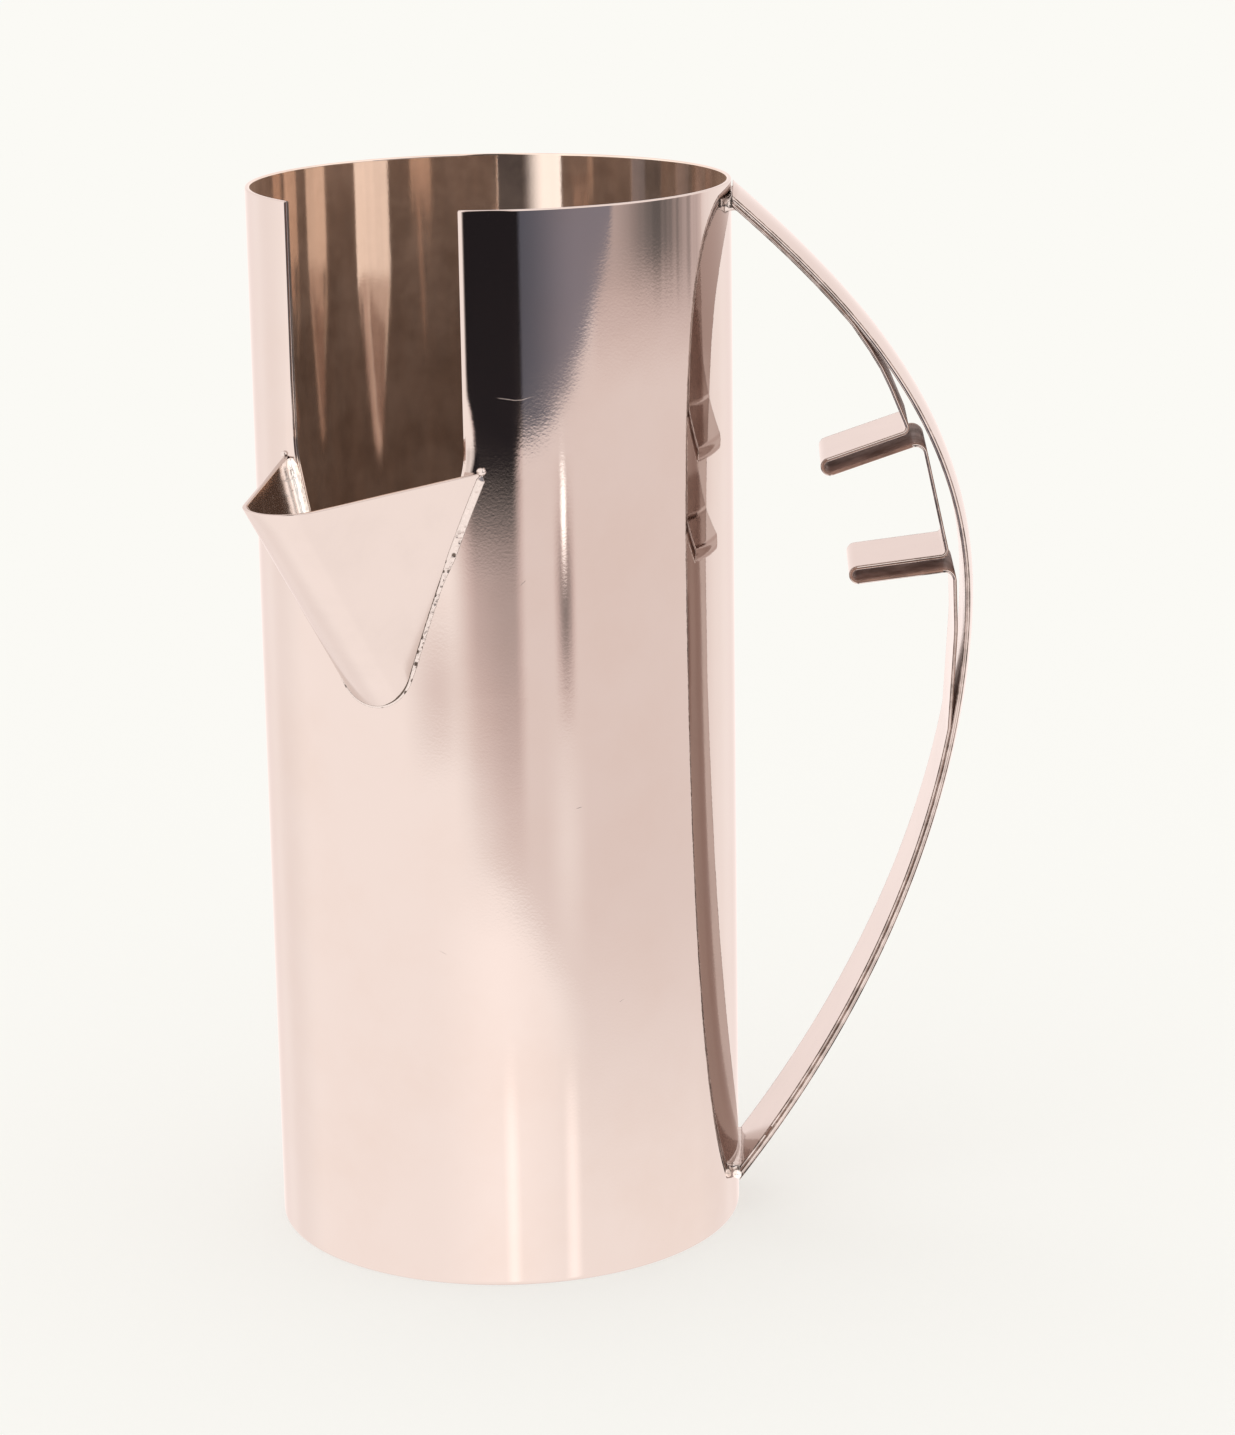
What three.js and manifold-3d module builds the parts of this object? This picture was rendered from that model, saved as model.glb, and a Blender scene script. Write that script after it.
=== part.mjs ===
// A silver water pitcher: a plain tube with a rectangular window cut down from its rim, a folded
// V spout soldered over the foot of the window, and a bowed strap handle lined with a thin ribbon
// that is folded into two finger rests. Millimetres, +Z up, origin at the centre of the base,
// +X towards the handle.
import * as THREE from 'three';
import { mergeVertices } from 'three/addons/utils/BufferGeometryUtils.js';
import Module from 'manifold-3d';

const wasm = await Module();
wasm.setup();

// Body
const BODY_RADIUS = 51;
const BODY_HEIGHT = 228;
const WALL = 1;
const EDGE_ROUND = 0.3;
const BODY_SEGMENTS = 120;
const BASE_THICKNESS = 1.2;
const BASE_SEGMENTS = 96;
const BASE_FILLET = 1.8;
const FILLET_HOLLOW = 0.45;            // how far the base's solder ring sinks in, as a share of its size

// Every piece stands this far off its neighbours.
const GAP = 0.3;

// Window in the wall, centred on the spout
const SPOUT_AZIMUTH = THREE.MathUtils.degToRad(-116.6);
const WINDOW_HALF_ANGLE = 23.6;
const WINDOW_FOOT = 177;
const WINDOW_FOOT_ROUND = 3;
const WINDOW_FOOT_BEND = 1;            // degrees the window's edges turn in at its foot
const THROAT_HALF_ANGLE = 7.5;
const THROAT_SHOULDER = 136;
const THROAT_BOTTOM = 130;

// Spout: a trough of constant V section that slides outward as it rises
const SPOUT_SHEET = 1.05;
const TROUGH_HALF_ANGLE = THREE.MathUtils.degToRad(21);
const NOSE_RADIUS = 9.1;
const TIP_REACH = 88.8;
const TIP_HEIGHT = 173;
const RIDGE_SLOPE = 1.252;
const LIP_HEIGHT_AT_BODY = 175.4;
const LIP_REACH_AT_BODY = 45.3;
const LIP_FALL = (LIP_HEIGHT_AT_BODY - TIP_HEIGHT) / (TIP_REACH - LIP_REACH_AT_BODY);
const SPOUT_BEAD_RADIUS = 1.2;
const BEAD_SHARE = 0.985;              // of the seam that carries the bead
const CORNER_BEAD_RADIUS = 1.7;
const CORNER_BEAD_SETBACK = 0.035;     // radians inside the lip's end
const CORNER_BEAD_RISE = 0.6;          // above the lip

// Handle: distances are from the body's axis, in the plane of the handle
const STRAP_WIDTH = 24.3;
const STRAP_EDGE = 1;
const STRAP_CROWN = 1.2;
const RIBBON_THICKNESS = 0.8;
const STRAP_STEPS = 72;
const STRAP_END_REACH = BODY_RADIUS + GAP;

// The bow of the strap: three points, and the pull of the curve as it leaves and meets each one
const HANDLE_TOP = { reach: 50.2, height: 226.6 };
const HANDLE_WIDEST = { reach: 101, height: 139 };
const HANDLE_FOOT = { reach: 51.3, height: 8.6 };
const TOP_PULL = { out: 30.5, down: 26.5 };
const WIDEST_PULL = { up: 35.3, down: 21.2 };
const FOOT_PULL = { out: 43.5, up: 57.8 };
const FOOT_OVERRUN = { back: 1.1, down: 1.5 };

// The ribbon leaves the strap and returns to it at these heights, bending gently just beyond
const RIBBON_LEAVES = 198;
const RIBBON_RETURNS = 112;
const RIBBON_UPPER_BEND = [82.4, 189.4, 45];
const RIBBON_LOWER_BEND = [98.1, 133, 40];

// Finger rests: the ribbon turns in at the root, folds back at the tip and comes out again
const UPPER_REST = { rootReach: 88.0, rootHeight: 175.9, tipReach: 69.0, slope: 0.345, outReach: 91.0 };
const LOWER_REST = { rootReach: 96.3, rootHeight: 149.2, tipReach: 75.2, slope: 0.13, outReach: 97.7 };
const REST_SPACING = 3.1;
const REST_BEND = 1.3;
const REST_OUTER_BEND = 2.2;
const REST_FOLD = REST_SPACING / 2 - 0.02;

// Solder at the handle's ends: how far it runs along the body and stands off it
const SOLDER_RUN = 3.4;
const SOLDER_REACH = 2.4;
const SOLDER_OVERLAP = 2.2;            // into the corner behind the strips
const SOLDER_DEPTH = 3;                // into the body, before the body is cut from it
const SOLDER_INSET = 0.6;              // narrower than the strap by this much

const SILVER = { color: 0xd8ccc5, roughness: 0.22, metalness: 1 };
const SOLDER = { color: 0xe4e0dc, roughness: 0.35, metalness: 1 };

const model = new THREE.Group();
const spoutSide = new THREE.Group();
spoutSide.rotation.z = SPOUT_AZIMUTH;
model.add(spoutSide);

function addPiece(parent, name, geometry, finish) {
  const mesh = new THREE.Mesh(geometry, new THREE.MeshStandardMaterial(finish));
  mesh.name = name;
  parent.add(mesh);
}

// Solids: joins and cuts work on closed meshes with shared vertices.
function solidOf(geometry) {
  const bare = geometry.clone();
  bare.deleteAttribute('normal');
  bare.deleteAttribute('uv');
  const merged = mergeVertices(bare, 1e-4);
  return new wasm.Manifold(new wasm.Mesh({
    numProp: 3,
    vertProperties: new Float32Array(merged.attributes.position.array),
    triVerts: new Uint32Array(merged.index.array),
  }));
}

function geometryOf(solid) {
  const mesh = solid.getMesh();
  const geometry = new THREE.BufferGeometry();
  geometry.setAttribute('position', new THREE.BufferAttribute(mesh.vertProperties, 3));
  geometry.setIndex(new THREE.BufferAttribute(mesh.triVerts, 1));
  geometry.computeVertexNormals();
  return geometry;
}

// A solid of revolution about +Z from [radius, height] points.
function revolve(profile, segments = BODY_SEGMENTS) {
  const points = profile.map(([radius, height]) => new THREE.Vector2(radius, height));
  return new THREE.LatheGeometry(points, segments).rotateX(Math.PI / 2);
}

function cylinderSolid(radius, bottom, top, segments = BODY_SEGMENTS) {
  return solidOf(revolve([[0, bottom], [radius, bottom], [radius, top], [0, top]], segments));
}

// An outline in the plane of the handle, given as [reach, height], made `width` wide across it.
function handlePlate(outline, width) {
  const shape = new THREE.Shape(outline.map(([reach, height]) => new THREE.Vector2(reach, height)));
  const plate = new THREE.ExtrudeGeometry(shape, { depth: width, bevelEnabled: false, curveSegments: 1 });
  return plate.rotateX(Math.PI / 2).translate(0, width / 2, 0);
}

// ---------------------------------------------------------------- body

function tubeProfile() {
  const inner = BODY_RADIUS - WALL;
  const corner = (radius, height, startAngle) => [0, 45, 90].map((turn) => {
    const angle = THREE.MathUtils.degToRad(startAngle + turn);
    return [radius + EDGE_ROUND * Math.cos(angle), height + EDGE_ROUND * Math.sin(angle)];
  });
  const profile = [
    ...corner(BODY_RADIUS - EDGE_ROUND, EDGE_ROUND, -90),
    ...corner(BODY_RADIUS - EDGE_ROUND, BODY_HEIGHT - EDGE_ROUND, 0),
    ...corner(inner + EDGE_ROUND, BODY_HEIGHT - EDGE_ROUND, 90),
    ...corner(inner + EDGE_ROUND, EDGE_ROUND, 180),
  ];
  return [...profile, profile[0]];
}

// A cutter whose sides all point at the axis: `outline` holds [degrees, height] pairs.
function radialCutter(outline) {
  const innerRadius = BODY_RADIUS / 2;
  const outerRadius = BODY_RADIUS * 2;
  const shape = new THREE.Shape(outline.map(([degrees, height]) => new THREE.Vector2(degrees, height)));
  const block = new THREE.ExtrudeGeometry(shape, { depth: 1, bevelEnabled: false, curveSegments: 1 });
  const position = block.attributes.position;
  for (let i = 0; i < position.count; i += 1) {
    const angle = THREE.MathUtils.degToRad(position.getX(i));
    const radius = THREE.MathUtils.lerp(innerRadius, outerRadius, position.getZ(i));
    position.setXYZ(i, radius * Math.cos(angle), radius * Math.sin(angle), position.getY(i));
  }
  return solidOf(block);
}

// Half of the opening, from the rim down to the round bottom of the throat behind the spout.
function openingSide(sign) {
  const side = [[sign * WINDOW_HALF_ANGLE, BODY_HEIGHT + 5]];
  for (let i = 0; i <= 4; i += 1) {
    const t = i / 4;
    const height = WINDOW_FOOT + WINDOW_FOOT_ROUND * (1 - t) - WINDOW_FOOT_ROUND * t;
    side.push([sign * (WINDOW_HALF_ANGLE - t * t * WINDOW_FOOT_BEND), height]);
  }
  const steps = 6;
  for (let i = 0; i < steps; i += 1) {
    const turn = (i / steps) * (Math.PI / 2);
    const height = THROAT_SHOULDER - (THROAT_SHOULDER - THROAT_BOTTOM) * Math.sin(turn);
    side.push([sign * THROAT_HALF_ANGLE * Math.cos(turn), height]);
  }
  return side;
}

function buildBody() {
  const opening = radialCutter([...openingSide(-1), [0, THROAT_BOTTOM], ...openingSide(1).reverse()]);
  const tube = solidOf(revolve(tubeProfile())).subtract(opening);
  addPiece(spoutSide, 'body_tube', geometryOf(tube), SILVER);

  const inner = BODY_RADIUS - WALL;
  const disc = revolve([
    [0, 0], [inner - GAP - EDGE_ROUND, 0], [inner - GAP, EDGE_ROUND],
    [inner - GAP, BASE_THICKNESS], [0, BASE_THICKNESS],
  ], BASE_SEGMENTS);
  addPiece(model, 'base_disc', disc, SILVER);

  const foot = BASE_THICKNESS + GAP;
  const ring = revolve([
    [inner - GAP, foot], [inner - GAP, foot + BASE_FILLET],
    [inner - GAP - FILLET_HOLLOW * BASE_FILLET, foot + FILLET_HOLLOW * BASE_FILLET],
    [inner - GAP - BASE_FILLET, foot], [inner - GAP, foot],
  ], BASE_SEGMENTS);
  addPiece(model, 'base_solder_ring', ring, SOLDER);
}

// ---------------------------------------------------------------- spout

const TROUGH_APEX = TIP_REACH - NOSE_RADIUS + NOSE_RADIUS / Math.sin(TROUGH_HALF_ANGLE);
const NOSE_CENTRE = TIP_REACH - NOSE_RADIUS;

// One side of the V section at tip height, `inset` inside the outer face, as [reach, across].
function troughSection(inset) {
  const radius = NOSE_RADIUS - inset;
  const tangent = Math.PI / 2 - TROUGH_HALF_ANGLE;
  const steps = 12;
  const nose = [];
  for (let i = 0; i <= steps; i += 1) {
    const angle = -tangent + (2 * tangent * i) / steps;
    nose.push([NOSE_CENTRE + radius * Math.cos(angle), radius * Math.sin(angle)]);
  }
  const flank = 60;
  const [endReach, endAcross] = nose[steps];
  const backReach = endReach - flank * Math.cos(TROUGH_HALF_ANGLE);
  const backAcross = endAcross + flank * Math.sin(TROUGH_HALF_ANGLE);
  return [[backReach, -backAcross], ...nose, [backReach, backAcross]];
}

// The section made into a block and sheared along the ridge.
function slidingBlock(section) {
  const bottom = THROAT_BOTTOM - 12;
  const height = LIP_HEIGHT_AT_BODY + 8 - bottom;
  const shape = new THREE.Shape(section.map(([reach, across]) => new THREE.Vector2(reach, across)));
  const block = new THREE.ExtrudeGeometry(shape, { depth: height, bevelEnabled: false, curveSegments: 1 });
  block.translate(0, 0, bottom - TIP_HEIGHT);
  block.applyMatrix4(new THREE.Matrix4().makeShear(0, 0, 0, 0, 1 / RIDGE_SLOPE, 0));
  return solidOf(block.translate(0, 0, TIP_HEIGHT));
}

// Everything above the lip, which falls slightly from the body to the tip.
function aboveLip(lift) {
  const block = new THREE.BoxGeometry(160, 160, 60);
  block.translate(0, 0, 30 + lift);
  block.rotateY(Math.atan(LIP_FALL));
  return solidOf(block.translate(LIP_REACH_AT_BODY, 0, LIP_HEIGHT_AT_BODY));
}

// Where the outer face of the trough meets the body, at an angle from the spout's middle.
function seamPoint(angle) {
  const reach = BODY_RADIUS * Math.cos(angle);
  const across = BODY_RADIUS * Math.sin(angle);
  let slide;
  if (Math.abs(across) > NOSE_RADIUS * Math.cos(TROUGH_HALF_ANGLE)) {
    slide = reach + Math.abs(across) / Math.tan(TROUGH_HALF_ANGLE) - TROUGH_APEX;
  } else {
    slide = reach - Math.sqrt(NOSE_RADIUS ** 2 - across ** 2) - NOSE_CENTRE;
  }
  return new THREE.Vector3(reach, across, TIP_HEIGHT + slide * RIDGE_SLOPE);
}

// The angle at which the lip leaves the body.
function lipAngle() {
  let low = 0;
  let high = Math.PI / 4;
  for (let i = 0; i < 40; i += 1) {
    const angle = (low + high) / 2;
    const point = seamPoint(angle);
    const lip = LIP_HEIGHT_AT_BODY - LIP_FALL * (point.x - LIP_REACH_AT_BODY);
    if (point.z < lip) low = angle;
    else high = angle;
  }
  return low;
}

function roundBead(curve, radius, sides, steps) {
  const section = new THREE.Shape(Array.from({ length: sides }, (_, i) => {
    const angle = (i / sides) * 2 * Math.PI;
    return new THREE.Vector2(radius * Math.cos(angle), radius * Math.sin(angle));
  }));
  return new THREE.ExtrudeGeometry(section, { steps, extrudePath: curve, curveSegments: 1 });
}

function buildSpout() {
  const outer = troughSection(0);
  const inner = troughSection(SPOUT_SHEET).reverse();
  const bodyCore = cylinderSolid(BODY_RADIUS + GAP, -10, BODY_HEIGHT + 10);
  const sheet = slidingBlock([...outer, ...inner]).subtract(aboveLip(0)).subtract(bodyCore);
  addPiece(spoutSide, 'spout_sheet', geometryOf(sheet), SILVER);

  const clearance = slidingBlock(troughSection(-GAP));
  const reach = lipAngle();
  const steps = 44;
  const seam = [];
  for (let i = 0; i <= steps; i += 1) seam.push(seamPoint(reach * ((2 * i) / steps - 1) * BEAD_SHARE));
  const bead = solidOf(roundBead(new THREE.CatmullRomCurve3(seam), SPOUT_BEAD_RADIUS, 10, 64));
  const fillet = bead.subtract(clearance).subtract(bodyCore).subtract(aboveLip(-GAP));
  addPiece(spoutSide, 'spout_seam_solder', geometryOf(fillet), SOLDER);

  const sheetOutline = [...troughSection(-GAP), ...troughSection(SPOUT_SHEET + GAP).reverse()];
  const sheetClearance = slidingBlock(sheetOutline);
  for (const [name, sign] of [['spout_corner_solder_left', -1], ['spout_corner_solder_right', 1]]) {
    const angle = sign * (reach - CORNER_BEAD_SETBACK);
    const drop = new THREE.SphereGeometry(CORNER_BEAD_RADIUS, 16, 10);
    drop.translate((BODY_RADIUS + GAP) * Math.cos(angle), (BODY_RADIUS + GAP) * Math.sin(angle), 0);
    drop.translate(0, 0, LIP_HEIGHT_AT_BODY + CORNER_BEAD_RISE);
    const trimmed = solidOf(drop).subtract(bodyCore).subtract(sheetClearance.subtract(aboveLip(GAP)));
    addPiece(spoutSide, name, geometryOf(trimmed), SOLDER);
  }
}

// ---------------------------------------------------------------- handle

// The line of the strap's outer edge, from the rim out to its widest point and back to the foot.
function strapLine() {
  const point = (reach, height) => new THREE.Vector3(reach, 0, height);
  const { reach: topReach, height: topHeight } = HANDLE_TOP;
  const { reach: widestReach, height: widestHeight } = HANDLE_WIDEST;
  const { reach: footReach, height: footHeight } = HANDLE_FOOT;
  const widest = point(widestReach, widestHeight);
  const line = new THREE.CurvePath();
  line.add(new THREE.CubicBezierCurve3(
    point(topReach, topHeight), point(topReach + TOP_PULL.out, topHeight - TOP_PULL.down),
    point(widestReach, widestHeight + WIDEST_PULL.up), widest,
  ));
  line.add(new THREE.CubicBezierCurve3(
    widest, point(widestReach, widestHeight - WIDEST_PULL.down),
    point(footReach + FOOT_PULL.out, footHeight + FOOT_PULL.up),
    point(footReach - FOOT_OVERRUN.back, footHeight - FOOT_OVERRUN.down),
  ));
  return line;
}

const STRAP_LINE = strapLine();

// A point at `fraction` of the strap's length, `depth` inside its outer edge, as [reach, height].
function besideStrap(fraction, depth) {
  const point = STRAP_LINE.getPointAt(fraction);
  const along = STRAP_LINE.getTangentAt(fraction);
  return [point.x + along.z * depth, point.z - along.x * depth];
}

// The fraction of the strap's length at which it passes a height.
function fractionAtHeight(height) {
  let low = 0;
  let high = 1;
  for (let i = 0; i < 40; i += 1) {
    const middle = (low + high) / 2;
    if (STRAP_LINE.getPointAt(middle).z > height) low = middle;
    else high = middle;
  }
  return low;
}

// The height at which the inner face of the two strips reaches the body, near one end.
function innerCornerHeight(end, depth) {
  let near = end;
  let far = 0.5;
  for (let i = 0; i < 40; i += 1) {
    const middle = (near + far) / 2;
    if (besideStrap(middle, depth)[0] < STRAP_END_REACH) near = middle;
    else far = middle;
  }
  return besideStrap(near, depth)[1];
}

function alongStrap(start, end, steps, depth) {
  return Array.from({ length: steps + 1 }, (_, i) => besideStrap(start + ((end - start) * i) / steps, depth));
}

// Replaces each corner [reach, height, radius] of a line by an arc of that radius.
function roundCorners(corners) {
  const line = [];
  corners.forEach(([reach, height, radius = 0], i) => {
    const corner = new THREE.Vector2(reach, height);
    if (!radius) {
      line.push(corner);
      return;
    }
    const back = new THREE.Vector2(...corners[i - 1].slice(0, 2)).sub(corner).normalize();
    const ahead = new THREE.Vector2(...corners[i + 1].slice(0, 2)).sub(corner).normalize();
    const half = Math.acos(THREE.MathUtils.clamp(back.dot(ahead), -1, 1)) / 2;
    const centre = back.clone().add(ahead).normalize().multiplyScalar(radius / Math.sin(half)).add(corner);
    const from = back.multiplyScalar(radius / Math.tan(half)).add(corner).sub(centre);
    const to = ahead.multiplyScalar(radius / Math.tan(half)).add(corner).sub(centre);
    const sweep = Math.atan2(from.cross(to), from.dot(to));
    const steps = Math.max(2, Math.ceil(Math.abs(sweep) / 0.4));
    for (let k = 0; k <= steps; k += 1) {
      line.push(from.clone().rotateAround(new THREE.Vector2(), (sweep * k) / steps).add(centre));
    }
  });
  return line;
}

// The closed outline of a strip of even thickness along a line.
function stripOutline(line, thickness) {
  const left = [];
  const right = [];
  line.forEach((point, i) => {
    const ahead = line[Math.min(i + 1, line.length - 1)];
    const behind = line[Math.max(i - 1, 0)];
    const along = ahead.clone().sub(behind).normalize();
    const side = new THREE.Vector2(-along.y, along.x).multiplyScalar(thickness / 2);
    left.push([point.x + side.x, point.y + side.y]);
    right.unshift([point.x - side.x, point.y - side.y]);
  });
  return [...left, ...right];
}

// The corners of one finger rest.
function fingerRest({ rootReach, rootHeight, tipReach, slope, outReach }) {
  const angle = Math.atan(slope);
  const inward = new THREE.Vector2(-Math.cos(angle), -Math.sin(angle));
  const down = new THREE.Vector2(Math.sin(angle), -Math.cos(angle)).multiplyScalar(REST_SPACING);
  const root = new THREE.Vector2(rootReach, rootHeight);
  const toTip = (rootReach - tipReach - RIBBON_THICKNESS / 2) / Math.cos(angle);
  const tip = root.clone().addScaledVector(inward, toTip);
  const back = tip.clone().add(down);
  const out = back.clone().addScaledVector(inward, -(outReach - back.x) / Math.cos(angle));
  return [
    [root.x, root.y, REST_BEND], [tip.x, tip.y, REST_FOLD],
    [back.x, back.y, REST_FOLD], [out.x, out.y, REST_OUTER_BEND],
  ];
}

// A block on the body's side of an upright plane square to the handle.
function boxUpTo(reach) {
  const depth = 40;
  const block = new THREE.BoxGeometry(depth, BODY_RADIUS, BODY_HEIGHT + 60);
  return solidOf(block.translate(reach - depth / 2, 0, BODY_HEIGHT / 2));
}

function buildHandle() {
  const widthHalf = STRAP_WIDTH / 2;
  const bodySide = boxUpTo(STRAP_END_REACH);

  // Strap: flat inside, slightly crowned outside. In the section, +y is towards the body.
  const crownSteps = 8;
  const section = [[-widthHalf, STRAP_EDGE], [-widthHalf, 0]];
  for (let i = 1; i < crownSteps; i += 1) {
    const across = -1 + (2 * i) / crownSteps;
    section.push([across * widthHalf, -STRAP_CROWN * (1 - across ** 2)]);
  }
  section.push([widthHalf, 0], [widthHalf, STRAP_EDGE]);
  const sectionPoints = section.reverse().map(([across, inward]) => new THREE.Vector2(across, inward));
  const strapShape = new THREE.Shape(sectionPoints);
  const sweep = { steps: STRAP_STEPS, extrudePath: STRAP_LINE, curveSegments: 1 };
  const strap = new THREE.ExtrudeGeometry(strapShape, sweep);
  addPiece(model, 'handle_outer_strap', geometryOf(solidOf(strap).subtract(bodySide)), SILVER);

  // Ribbon: laid against the strap at both ends and folded into the two finger rests between.
  const depth = STRAP_EDGE + GAP + RIBBON_THICKNESS / 2;
  const ribbonLine = roundCorners([
    ...alongStrap(0, fractionAtHeight(RIBBON_LEAVES), 12, depth),
    RIBBON_UPPER_BEND, ...fingerRest(UPPER_REST), ...fingerRest(LOWER_REST),
    RIBBON_LOWER_BEND, ...alongStrap(fractionAtHeight(RIBBON_RETURNS), 1, 26, depth),
  ]);
  const ribbon = handlePlate(stripOutline(ribbonLine, RIBBON_THICKNESS), STRAP_WIDTH);
  addPiece(model, 'handle_inner_ribbon', geometryOf(solidOf(ribbon).subtract(bodySide)), SILVER);

  // Solder where the two strips meet the body: it fills the corner on their inner side and the
  // slivers that the straight-cut ends leave on either side of the round body.
  const bodyCore = cylinderSolid(BODY_RADIUS + GAP, -10, BODY_HEIGHT + 10);
  const stackDepth = depth + RIBBON_THICKNESS / 2;
  const stack = [
    ...alongStrap(0, 1, STRAP_STEPS, -STRAP_CROWN - GAP),
    ...alongStrap(0, 1, STRAP_STEPS, stackDepth + GAP).reverse(),
  ];
  const beforeEnds = boxUpTo(STRAP_END_REACH - GAP);
  const strips = solidOf(handlePlate(stack, STRAP_WIDTH + 2 * GAP)).subtract(beforeEnds);
  const ends = [['handle_top_solder', 0, -1], ['handle_foot_solder', 1, 1]];
  for (const [name, end, away] of ends) {
    const corner = innerCornerHeight(end, stackDepth);
    const outline = [
      [-SOLDER_DEPTH, -SOLDER_OVERLAP], [0, -SOLDER_OVERLAP], [GAP * 3, 0],
      [SOLDER_REACH, SOLDER_RUN * 0.6], [SOLDER_REACH / 2, SOLDER_RUN * 0.75],
      [GAP, SOLDER_RUN], [-SOLDER_DEPTH, SOLDER_RUN],
    ].map(([reach, run]) => [BODY_RADIUS + reach, corner + away * run]);
    const block = solidOf(handlePlate(away > 0 ? outline : outline.reverse(), STRAP_WIDTH - SOLDER_INSET));
    addPiece(model, name, geometryOf(block.subtract(bodyCore).subtract(strips)), SOLDER);
  }
}

buildBody();
buildSpout();
buildHandle();

export default model;
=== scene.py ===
import math
from math import cos, pi, sin

import bmesh
import bpy
from mathutils import Matrix, Vector, noise


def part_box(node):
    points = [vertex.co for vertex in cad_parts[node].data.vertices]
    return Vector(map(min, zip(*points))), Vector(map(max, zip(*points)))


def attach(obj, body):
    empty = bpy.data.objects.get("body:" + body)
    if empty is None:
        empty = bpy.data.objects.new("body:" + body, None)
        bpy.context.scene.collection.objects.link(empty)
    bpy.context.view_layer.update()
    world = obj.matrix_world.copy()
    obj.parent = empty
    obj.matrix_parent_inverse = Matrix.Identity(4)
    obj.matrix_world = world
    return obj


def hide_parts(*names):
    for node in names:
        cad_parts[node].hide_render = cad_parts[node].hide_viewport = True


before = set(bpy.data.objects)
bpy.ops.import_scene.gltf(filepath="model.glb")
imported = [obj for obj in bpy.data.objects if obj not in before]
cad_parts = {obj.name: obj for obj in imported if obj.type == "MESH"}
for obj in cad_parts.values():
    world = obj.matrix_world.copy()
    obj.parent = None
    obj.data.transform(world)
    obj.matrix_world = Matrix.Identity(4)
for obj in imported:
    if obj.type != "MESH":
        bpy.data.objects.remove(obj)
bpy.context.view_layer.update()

# A silver water pitcher. Lengths are millimetres unless it says metres, until add_piece() converts them.
# The body's axis is the Z axis, and the handle lies in the XZ plane on the +X side.
MM = 0.001

# Body, from the frame
tube_low, tube_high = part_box("body_tube")
BODY_HEIGHT = tube_high.z / MM
BODY_RADIUS = (tube_high.y - tube_low.y) / 2 / MM
WALL = 1.0
BASE_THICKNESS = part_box("base_disc")[1].z / MM
BASE_FILLET = 1.8
COLUMNS = 240  # round the body
FIT = 0.04  # between pieces that touch
EDGE_ROUNDING = 0.3  # of the rim and the window's edges
FOOT_ROUNDING = 0.6
INNER_FOOT_ROUNDING = 0.2
BASE_ROUNDING = 0.3

# Window and throat, centred on the spout
SPOUT_AZIMUTH = math.radians(-116.6)
WINDOW_HALF_ANGLE = 23.6
WINDOW_BEND_TOP = 180.0
WINDOW_BEND = 6.0
THROAT_SHOULDER = 136.0
THROAT_SHOULDER_ANGLE = 7.5
THROAT_BOTTOM = 130.0
EDGE_STRIP = 1.5
EDGE_DRESSING = 0.105  # slope at which the window's edges are dressed down
DRESSED_WIDTH = 1.05
DRESSED_WIDTH_AT_FOOT = 2.8
DRESSED_FOOT_HEIGHT = 12.5  # over which the strip widens
DRESSED_BLEND = 0.35  # share of the strip over which the slope sets in

# Spout: a trough of constant V section that slides outward as it rises
SPOUT_SHEET = 1.05
TROUGH_HALF_ANGLE = math.radians(21)
NOSE_RADIUS = 9.1
TIP_REACH = 88.8
TIP_HEIGHT = 173.0
RIDGE_SLOPE = 1.252
LIP_HEIGHT_AT_BODY = 175.4
LIP_REACH_AT_BODY = 45.3
LIP_FALL = (LIP_HEIGHT_AT_BODY - TIP_HEIGHT) / (TIP_REACH - LIP_REACH_AT_BODY)
LIP_ROUNDING = 0.28
LIP_BAND = 0.35  # from the rounding to the first row below it
NOSE_CENTRE = TIP_REACH - NOSE_RADIUS

# Handle
STRAP_WIDTH = 24.3
STRAP_EDGE = 1.0
STRAP_CROWN = 1.18
RIBBON_THICKNESS = 0.75
STACK_DEPTH = STRAP_EDGE + FIT + RIBBON_THICKNESS
STRAP_END_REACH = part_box("handle_outer_strap")[0].x / MM
HANDLE_REACH = 101.0
HANDLE_TOP = (50.2, 226.6)
HANDLE_WIDEST_HEIGHT = 139.0
HANDLE_BOTTOM = (51.3, 8.6)
HANDLE_TOP_PULL = (30.5, -26.5)  # a pull is the way from a curve's end to its control point
HANDLE_UPWARD_PULL = (0, 35.3)
HANDLE_DOWNWARD_PULL = (0, -21.2)
HANDLE_BOTTOM_PULL = (43.5, 57.8)
HANDLE_BOTTOM_SHIFT = (-1.1, -1.5)
STRAP_ROUNDING = 0.25
RIBBON_ROUNDING = 0.22
RIBBON_LEAVES = 198.0  # heights between which the ribbon stands off the strap
RIBBON_RETURNS = 112.0
UPPER_BEND = (82.4, 189.4, 45.0)  # reach, height, radius
LOWER_BEND = (98.1, 133.0, 40.0)
UPPER_REST = (88.0, 175.9, 69.0, 0.345, 91.0)  # root's reach and height, tip's reach, slope, end's reach
LOWER_REST = (96.3, 149.2, 75.2, 0.13, 97.7)
REST_SPACING = 3.1
REST_BEND = 1.3
REST_OUTER_BEND = 2.2

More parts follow.
